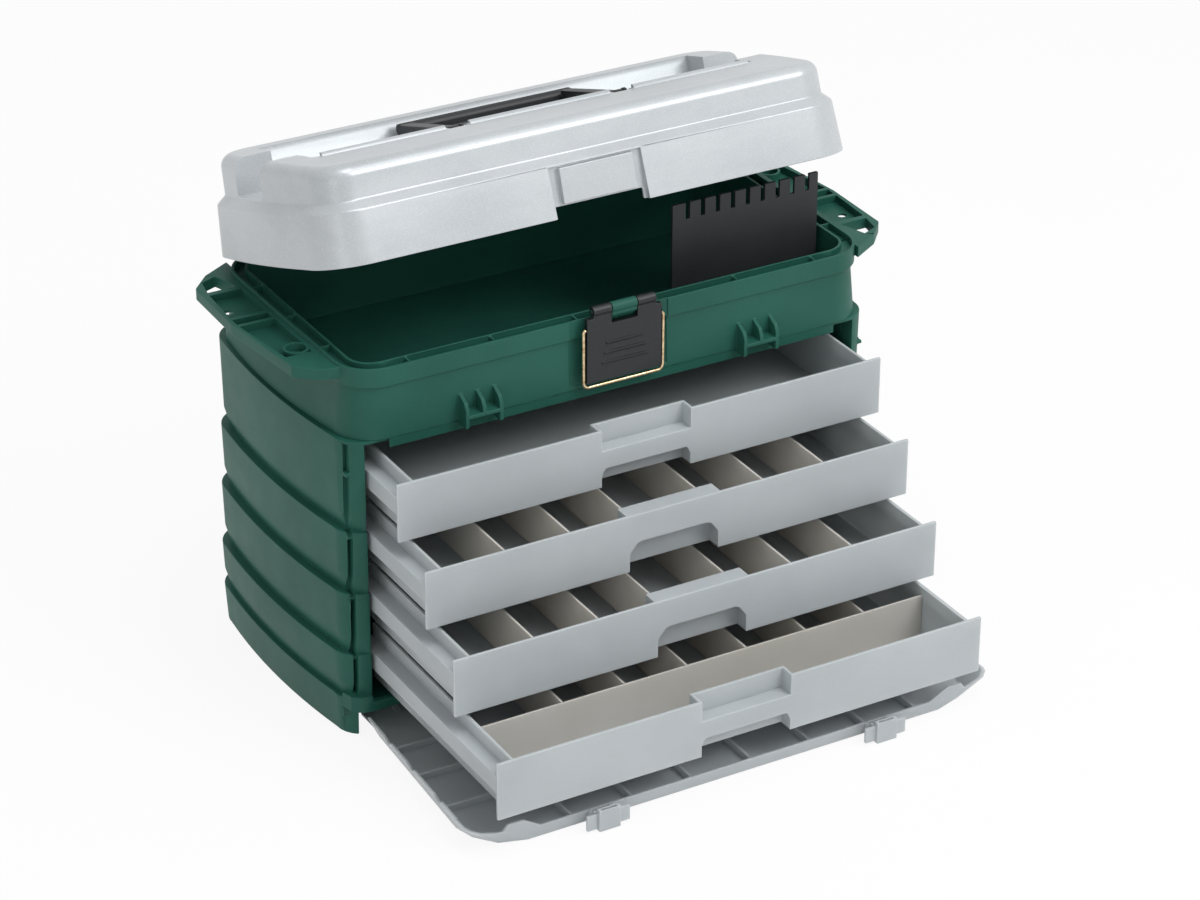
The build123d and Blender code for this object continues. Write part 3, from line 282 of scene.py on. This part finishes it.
@dataclass(frozen=True)
class Pearl:
    """Silver lid plastic: pale pigment with fine flakes under a satin face."""

    name: str
    colour: Colour
    # pale flake colour, also the colour of the painted edge highlight
    flake_and_highlight: Colour
    shadow: Colour
    roughness: float = 0.34
    flow_scale: float = 7.0
    flake_scale: float = 900.0
    grain_scale: float = 1300.0
    scuff_scale: float = 55.0
    sparkle: float = 0.35
    # strength of the painted edge highlight
    edge_highlight_strength: float = 0.45
    edge_mm: float = 1.2
    relief: float = 0.1
    relief_mm: float = 0.15
    sheen: float = 0.22
    coat: float = 0.12
    coat_roughness: float = 0.3

    def material(self) -> bpy.types.Material:
        """Makes the finish.

        Returns:
            The material.
        """
        made = bpy.data.materials.new(self.name)
        graph = Graph(made)
        point = graph.place()
        flow = graph.noise(graph.place((1.0, 1.0, 2.6)), self.flow_scale, 4, 0.55)
        cells = {"Vector": point, "Scale": self.flake_scale}
        flakes = graph.node("ShaderNodeTexVoronoi", {"feature": "F1"}, cells, output="Distance")
        grain = graph.noise(point, self.grain_scale, 2, 0.6)
        scuffs = graph.noise(graph.place((0.4, 3.0, 3.0)), self.scuff_scale, 5, 0.7)
        colour = graph.mix(flow.ramp(0.35, 0.7), self.colour, self.shadow)
        colour = graph.mix((1 - flakes.ramp(0.1, 0.5)) * self.sparkle, colour, self.flake_and_highlight)
        # painted highlight: edges turn lighter, in patches broken up by the scuff noise
        edge_highlight = graph.edges(self.edge_mm * MM) * scuffs.ramp(0.35, 0.6) * self.edge_highlight_strength
        colour = graph.mix(edge_highlight, colour, self.flake_and_highlight)
        shader = graph.node(
            "ShaderNodeBsdfPrincipled",
            inputs={
                "Base Color": colour,
                "Metallic": self.sheen + flakes * 0.2,
                "Roughness": self.roughness + (scuffs - 0.5) * 0.18,
                "Specular IOR Level": 0.5,
                "Coat Roughness": self.coat_roughness,
                "Coat Weight": self.coat,
                "Normal": graph.bump(grain + flow * 0.5, self.relief, self.relief_mm * MM),
            },
        )
        graph.surface(shader)
        return made


@dataclass(frozen=True)
class Metal:
    """Drawn wire or turned pins: fine lines along the piece and duller patches."""

    name: str
    colour: Colour
    dull: Colour
    roughness: float = 0.28
    line_scale: float = 300.0
    patch_scale: float = 180.0
    relief: float = 0.08
    relief_mm: float = 0.1

    def material(self) -> bpy.types.Material:
        """Makes the finish.

        Returns:
            The material.
        """
        made = bpy.data.materials.new(self.name)
        graph = Graph(made)
        lines = graph.noise(graph.place((0.2, 6.0, 6.0)), self.line_scale, 3)
        patches = graph.noise(graph.place(), self.patch_scale, 3, 0.6)
        shader = graph.node(
            "ShaderNodeBsdfPrincipled",
            inputs={
                "Base Color": graph.mix(patches.ramp(0.4, 0.7), self.colour, self.dull),
                "Metallic": 1.0,
                "Roughness": self.roughness + (patches - 0.5) * 0.2,
                "Normal": graph.bump(lines, self.relief, self.relief_mm * MM),
            },
        )
        graph.surface(shader)
        return made


class Finish(Enum):
    """Every finish of the cabinet, by the record's material slot."""

    GREEN = "green_plastic"
    SILVER = "silver_plastic"
    GREY = "grey_plastic"
    DIVIDER = "divider_plastic"
    BLACK = "black_plastic"
    DARK = "dark_plastic"
    BRASS = "brass_wire"
    STEEL = "steel"


def recipes() -> dict[Finish, Moulded | Pearl | Metal]:
    """The recipe of each finish."""
    return {
        Finish.GREEN: Moulded(
            "case_green",
            shade(38, 94, 81),
            shade(31, 84, 72),
            shade(92, 143, 128),
            roughness=0.46,
            specular=0.22,
            grain=1700,
            relief=0.2,
        ),
        Finish.SILVER: Pearl("lid_silver", shade(192, 197, 200), shade(228, 231, 232), shade(180, 186, 189)),
        Finish.GREY: Moulded(
            "drawer_grey",
            shade(182, 188, 191),
            shade(175, 181, 184),
            shade(226, 230, 232),
            roughness=0.4,
            grain=1400,
            relief=0.08,
            edge_highlight_strength=0.7,
            milk=0.5,
        ),
        Finish.DIVIDER: Moulded(
            "divider_cream",
            shade(212, 207, 199),
            shade(203, 197, 187),
            shade(234, 231, 225),
            roughness=0.38,
            relief=0.06,
            milk=0.6,
        ),
        Finish.BLACK: Moulded(
            "grip_black",
            shade(25, 29, 32),
            shade(20, 23, 26),
            shade(92, 98, 104),
            roughness=0.4,
            relief=0.2,
            edge_highlight_strength=0.4,
        ),
        Finish.DARK: Moulded(
            "rack_charcoal",
            shade(38, 41, 44),
            shade(28, 31, 34),
            shade(96, 100, 104),
            roughness=0.5,
            relief=0.15,
        ),
        Finish.BRASS: Metal("bail_brass", shade(226, 204, 166), shade(190, 160, 118), 0.26),
        Finish.STEEL: Metal("pin_steel", shade(205, 208, 212), shade(150, 154, 160), 0.3),
    }


# ---- modelling bench --------------------------------------------------------
class Bench:
    """Steps with Blender's own tools on one piece at a time."""

    merge_mm = 0.004
    flat_degrees = 0.6
    sharp_degrees = 32.0
    smooth_degrees = 38.0
    normal_weight = 80

    def __init__(self, finishes: dict[Finish, bpy.types.Material]) -> None:
        """Keeps the finishes that pieces are dressed in."""
        self.finishes = finishes

    @staticmethod
    def clear() -> None:
        """Leaves edit mode and selects nothing."""
        if bpy.context.mode != "OBJECT":
            bpy.ops.object.mode_set(mode="OBJECT")
        bpy.ops.object.select_all(action="DESELECT")

    def take(self, piece: bpy.types.Object) -> None:
        """Makes one piece the active and only selected one."""
        self.clear()
        piece.select_set(True)
        bpy.context.view_layer.objects.active = piece

    def edit(self, piece: bpy.types.Object) -> None:
        """Opens a piece in edit mode with nothing selected."""
        self.take(piece)
        bpy.ops.object.mode_set(mode="EDIT")
        bpy.ops.mesh.select_all(action="DESELECT")

    def copy_of(self, node: str) -> bpy.types.Object:
        """Copies a CAD node's mesh into a piece with merged corners and whole faces.

        Args:
            node: the node's name.

        Returns:
            The new piece, riding on nothing.
        """
        source = frame["nodes"][node]
        piece = source.copy()
        piece.data = source.data.copy()
        piece.name = piece.data.name = f"{node}_dressed"
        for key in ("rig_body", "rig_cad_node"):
            del piece[key]
        piece.parent = None
        bpy.context.scene.collection.objects.link(piece)
        self.take(piece)
        bpy.ops.mesh.customdata_custom_splitnormals_clear()
        bpy.ops.object.mode_set(mode="EDIT")
        bpy.ops.mesh.select_all(action="SELECT")
        bpy.ops.mesh.remove_doubles(threshold=self.merge_mm * MM)
        bpy.ops.mesh.dissolve_limited(angle_limit=math.radians(self.flat_degrees))
        self.clear()
        return piece

    def split(self, piece: bpy.types.Object) -> None:
        """Splits every face into triangles, which round cleanly, and stays in edit mode."""
        self.edit(piece)
        bpy.ops.mesh.select_all(action="SELECT")
        bpy.ops.mesh.quads_convert_to_tris(quad_method="BEAUTY", ngon_method="BEAUTY")

    def soften(self, piece: bpy.types.Object, width: float) -> None:
        """Rounds every sharp edge of a piece.

        Args:
            piece: the piece.
            width: the rounding in mm.
        """
        self.split(piece)
        self.take(piece)
        bevel = piece.modifiers.new("edge", "BEVEL")
        bevel.width = width * MM
        bevel.segments = 2
        bevel.limit_method = "ANGLE"
        bevel.angle_limit = math.radians(self.sharp_degrees)
        bevel.use_clamp_overlap = False
        bpy.ops.object.modifier_apply(modifier=bevel.name)
        self.smooth(piece)

    def smooth(self, piece: bpy.types.Object) -> None:
        """Shades a piece smooth, with flat faces kept flat."""
        self.take(piece)
        bpy.ops.object.shade_smooth_by_angle(angle=math.radians(self.smooth_degrees))
        weighted = piece.modifiers.new("normals", "WEIGHTED_NORMAL")
        weighted.keep_sharp = True
        weighted.weight = self.normal_weight
        bpy.ops.object.modifier_apply(modifier=weighted.name)

    def dress(self, piece: bpy.types.Object, finish: Finish) -> None:
        """Gives a piece one finish."""
        piece.data.materials.clear()
        piece.data.materials.append(self.finishes[finish])
        for face in piece.data.polygons:
            face.material_index = 0

    def seat(
        self, piece: bpy.types.Object, finish: Finish, body: str, *nodes: str, slot: Finish | None = None
    ) -> bpy.types.Object:
        """Dresses a finished piece and sets it on its body.

        Args:
            piece: the finished piece.
            finish: what it is made of.
            body: the body that it rides on.
            nodes: the CAD nodes that it stands for.
            slot: the record's slot, where it isn't the finish's own; not used.

        Returns:
            The piece.
        """
        self.clear()
        self.dress(piece, finish)
        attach(piece, body)
        if nodes:
            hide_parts(*nodes)
        log.info("%s: %d faces on %s", piece.name, len(piece.data.polygons), body)
        return piece

    def keep(self, node: str, finish: Finish) -> None:
        """Leaves a CAD node in place and gives it its finish."""
        body = frame["nodes"][node]
        body.data.materials.clear()
        body.data.materials.append(self.finishes[finish])

    def softened(
        self, node: str, finish: Finish, body: str, width: float, slot: Finish | None = None
    ) -> bpy.types.Object:
        """The usual case: a CAD node's copy with rounded edges, in its finish, in its place.

        Args:
            node: the CAD node that is copied and stood for.
            finish: what it is made of.
            body: the body that it rides on.
            width: the rounding in mm.
            slot: the record's slot, where it isn't the finish's own.

        Returns:
            The piece.
        """
        piece = self.copy_of(node)
        self.soften(piece, width)
        return self.seat(piece, finish, body, node, slot=slot)


# ---- sub-assemblies ---------------------------------------------------------
@dataclass
class Case:
    """Green shell, floor, inner panels and the well with its rack."""

    bench: Bench
    shell_edge: float = 0.9
    well_edge: float = 0.7
    inner_edge: float = 0.4

    def build(self) -> None:
        """Dresses every fixed piece."""
        body = "cabinet"
        self.bench.softened("case_shell", Finish.GREEN, body, self.shell_edge)
        self.bench.softened("well_tub", Finish.GREEN, body, self.well_edge)
        self.bench.softened("base_panel", Finish.GREEN, body, self.inner_edge)
        for node in ("runner_panel_left", "runner_panel_right"):
            self.bench.softened(node, Finish.GREEN, body, self.inner_edge, slot=Finish.DARK)
        self.bench.softened("slotted_rack", Finish.DARK, body, self.inner_edge, slot=Finish.BLACK)
        self.bench.keep("latch_pin", Finish.STEEL)


@dataclass
class Lid:
    """Silver lid with its hinge pins."""

    bench: Bench
    edge: float = 1.0
    dome: float = 55.0
    hinge: tuple[float, float] = (138.0, 346.0)
    opened: float = 18.5

    def on_dome(self, first: Vector, second: Vector) -> bool:
        """Whether an edge reaches above dome with the lid shut, where corners are round already."""
        turn = Matrix.Rotation(math.radians(self.opened), 3, "X")
        centre = Vector((0, *self.hinge))
        return max((turn @ (end / MM - centre)).z for end in (first, second)) > self.dome

    def build(self) -> None:
        """Dresses the lid, whose lower edges are rounded, and its hinge pins."""
        shell = self.bench.copy_of("lid_shell")
        self.bench.split(shell)
        bpy.ops.mesh.select_all(action="DESELECT")
        bpy.ops.mesh.select_mode(type="EDGE")
        bpy.ops.mesh.edges_select_sharp(sharpness=math.radians(self.bench.sharp_degrees))
        mesh = bmesh.from_edit_mesh(shell.data)
        for edge in mesh.edges:
            if edge.select and self.on_dome(edge.verts[0].co, edge.verts[1].co):
                edge.select_set(False)
        bmesh.update_edit_mesh(shell.data)
        bpy.ops.mesh.bevel(offset=self.edge * MM, segments=2, affect="EDGES", clamp_overlap=False)
        self.bench.clear()
        self.bench.smooth(shell)
        self.bench.seat(shell, Finish.SILVER, "lid", "lid_shell")
        self.bench.keep("lid_hinge_pins", Finish.STEEL)


@dataclass
class Handle:
    """Carrying handle with its clevis brackets and pins."""

    bench: Bench
    edge: float = 1.4
    bracket_edge: float = 0.5

    def build(self) -> None:
        """Dresses the handle."""
        for side in ("left", "right"):
            self.bench.softened(f"handle_bracket_{side}", Finish.BLACK, "lid", self.bracket_edge)
        self.bench.softened("handle_grip", Finish.BLACK, "handle", self.edge)
        self.bench.keep("handle_pivot_pins", Finish.STEEL)


@dataclass
class FrontLatch:
    """Black latch plate with its wire bail."""

    bench: Bench
    edge: float = 0.8

    def build(self) -> None:
        """Dresses the latch."""
        self.bench.softened("latch_plate", Finish.BLACK, "latch", self.edge)
        self.bench.keep("latch_bail", Finish.BRASS)


@dataclass
class Drawers:
    """Four drawers with their dividers."""

    bench: Bench
    edge: float = 0.55
    divider_edge: float = 0.35
    count: int = 4

    def build(self) -> None:
        """Dresses every drawer."""
        for number in range(1, self.count + 1):
            body = f"drawer_{number}"
            self.bench.softened(f"{body}_tray", Finish.GREY, body, self.edge)
            dividers = [node for node in frame["nodes"] if node.startswith(body) and "divider" in node]
            for node in sorted(dividers):
                self.bench.softened(node, Finish.DIVIDER, body, self.divider_edge)


@dataclass
class Door:
    """Fold-down door with its carriage, pins and latches."""

    bench: Bench
    edge: float = 0.6
    carriage_edge: float = 0.5

    def build(self) -> None:
        """Dresses the door."""
        self.bench.softened("door_panel", Finish.GREY, "door", self.edge)
        for side in ("left", "right"):
            self.bench.softened(f"door_latch_{side}", Finish.GREY, f"door_latch_{side}", self.edge)
        for node in ("door_carriage", "door_carriage_bar"):
            self.bench.softened(node, Finish.DARK, "door_carriage", self.carriage_edge)
        self.bench.keep("door_hinge_pins", Finish.STEEL)
        self.bench.keep("door_latch_pins", Finish.STEEL)


# ---- studio -----------------------------------------------------------------
@dataclass
class Studio:
    """Camera, floor, soft lamps and white surroundings."""

    eye: tuple[float, float, float] = (-1.4028, -2.5536, 1.7038)
    tilt: float = 61.94
    turn: float = -29.75
    roll: float = 0.09
    lens: float = 111.93
    sensor: float = 36.0
    floor_side: float = 30.0
    floor_drop: float = 0.0005
    floor_white: float = 0.9
    ambient: float = 0.58
    mirrored: float = 0.8
    middle: tuple[float, float, float] = (0.0, -0.05, 0.25)

    def camera(self) -> None:
        """Sets up the camera."""
        data = bpy.data.cameras.new("camera")
        data.lens = self.lens
        data.sensor_width = self.sensor
        data.sensor_fit = "HORIZONTAL"
        camera = bpy.data.objects.new("camera", data)
        angles = Euler((math.radians(self.tilt), 0, math.radians(self.turn)))
        facing = angles.to_matrix() @ Matrix.Rotation(math.radians(self.roll), 3, "Z")
        camera.matrix_world = Matrix.Translation(self.eye) @ facing.to_4x4()
        bpy.context.scene.collection.objects.link(camera)
        bpy.context.scene.camera = camera

    def floor(self) -> None:
        """Lays the plain pale floor."""
        Bench.clear()
        bpy.ops.mesh.primitive_plane_add(size=self.floor_side, location=(0, 0, -self.floor_drop))
        floor = bpy.context.active_object
        floor.name = "floor"
        bpy.ops.object.transform_apply(location=True, rotation=True, scale=True)
        material = bpy.data.materials.new("floor_white")
        graph = Graph(material)
        cloud = graph.noise(graph.place(), 3.0)
        white = graph.mix(cloud.ramp(0.3, 0.7), (0.9, 0.9, 0.9), (0.93, 0.93, 0.93))
        plain = graph.node("ShaderNodeBsdfPrincipled", inputs={"Base Color": white, "Roughness": 0.9})
        glow = graph.node("ShaderNodeEmission", inputs={"Color": WHITE, "Strength": 1.0})
        direct = graph.ray("Is Camera Ray") + graph.ray("Is Glossy Ray") + graph.ray("Is Transmission Ray")
        factor = direct * self.floor_white
        graph.surface(graph.node("ShaderNodeMixShader", inputs={0: factor, 1: plain, 2: glow}))
        floor.data.materials.append(material)

    def world(self) -> None:
        """Lights the surroundings evenly; they look white to the camera."""
        world = bpy.data.worlds.new("Studio")
        bpy.context.scene.world = world
        graph = Graph(world)
        seen = graph.ray("Is Camera Ray") + graph.ray("Is Transmission Ray")
        glossy = graph.ray("Is Glossy Ray")
        level = self.ambient + seen * (1 - self.ambient) + glossy * (self.mirrored - self.ambient)
        graph.surface(graph.node("ShaderNodeBackground", inputs={"Color": WHITE, "Strength": level}))

    def lamp(self, name: str, place: tuple[float, float, float], side: float, power: float) -> None:
        """Adds one soft square lamp that looks at the middle of the cabinet.

        Args:
            name: what it is.
            place: where it stands.
            side: its size in metres.
            power: its power in watts.
        """
        data = bpy.data.lights.new(name, "AREA")
        data.size = side
        data.energy = power
        lamp = bpy.data.objects.new(name, data)
        facing = (Vector(place) - Vector(self.middle)).to_track_quat("Z", "Y")
        lamp.matrix_world = Matrix.Translation(place) @ facing.to_matrix().to_4x4()
        bpy.context.scene.collection.objects.link(lamp)

    def build(self) -> None:
        """Sets up the whole studio."""
        self.camera()
        self.floor()
        self.world()
        self.lamp("key", (1.3, -2.4, 2.7), 1.5, 46.0)
        self.lamp("top", (0.2, -0.7, 3.0), 1.3, 22.0)
        self.lamp("fill", (-2.4, -2.0, 1.0), 1.0, 2.0)
        bpy.context.scene.view_settings.view_transform = "Standard"


def main() -> None:
    """Builds the cabinet's looks and the studio."""
    logging.basicConfig(level=logging.INFO, format="%(message)s")
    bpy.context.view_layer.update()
    Studio().build()
    finishes = {finish: recipe.material() for finish, recipe in recipes().items()}
    bench = Bench(finishes)
    for group in (Case, Lid, Handle, FrontLatch, Drawers, Door):
        log.info("building %s", group.__name__)
        group(bench).build()
    bench.clear()


if __name__ == "__main__":
    main()
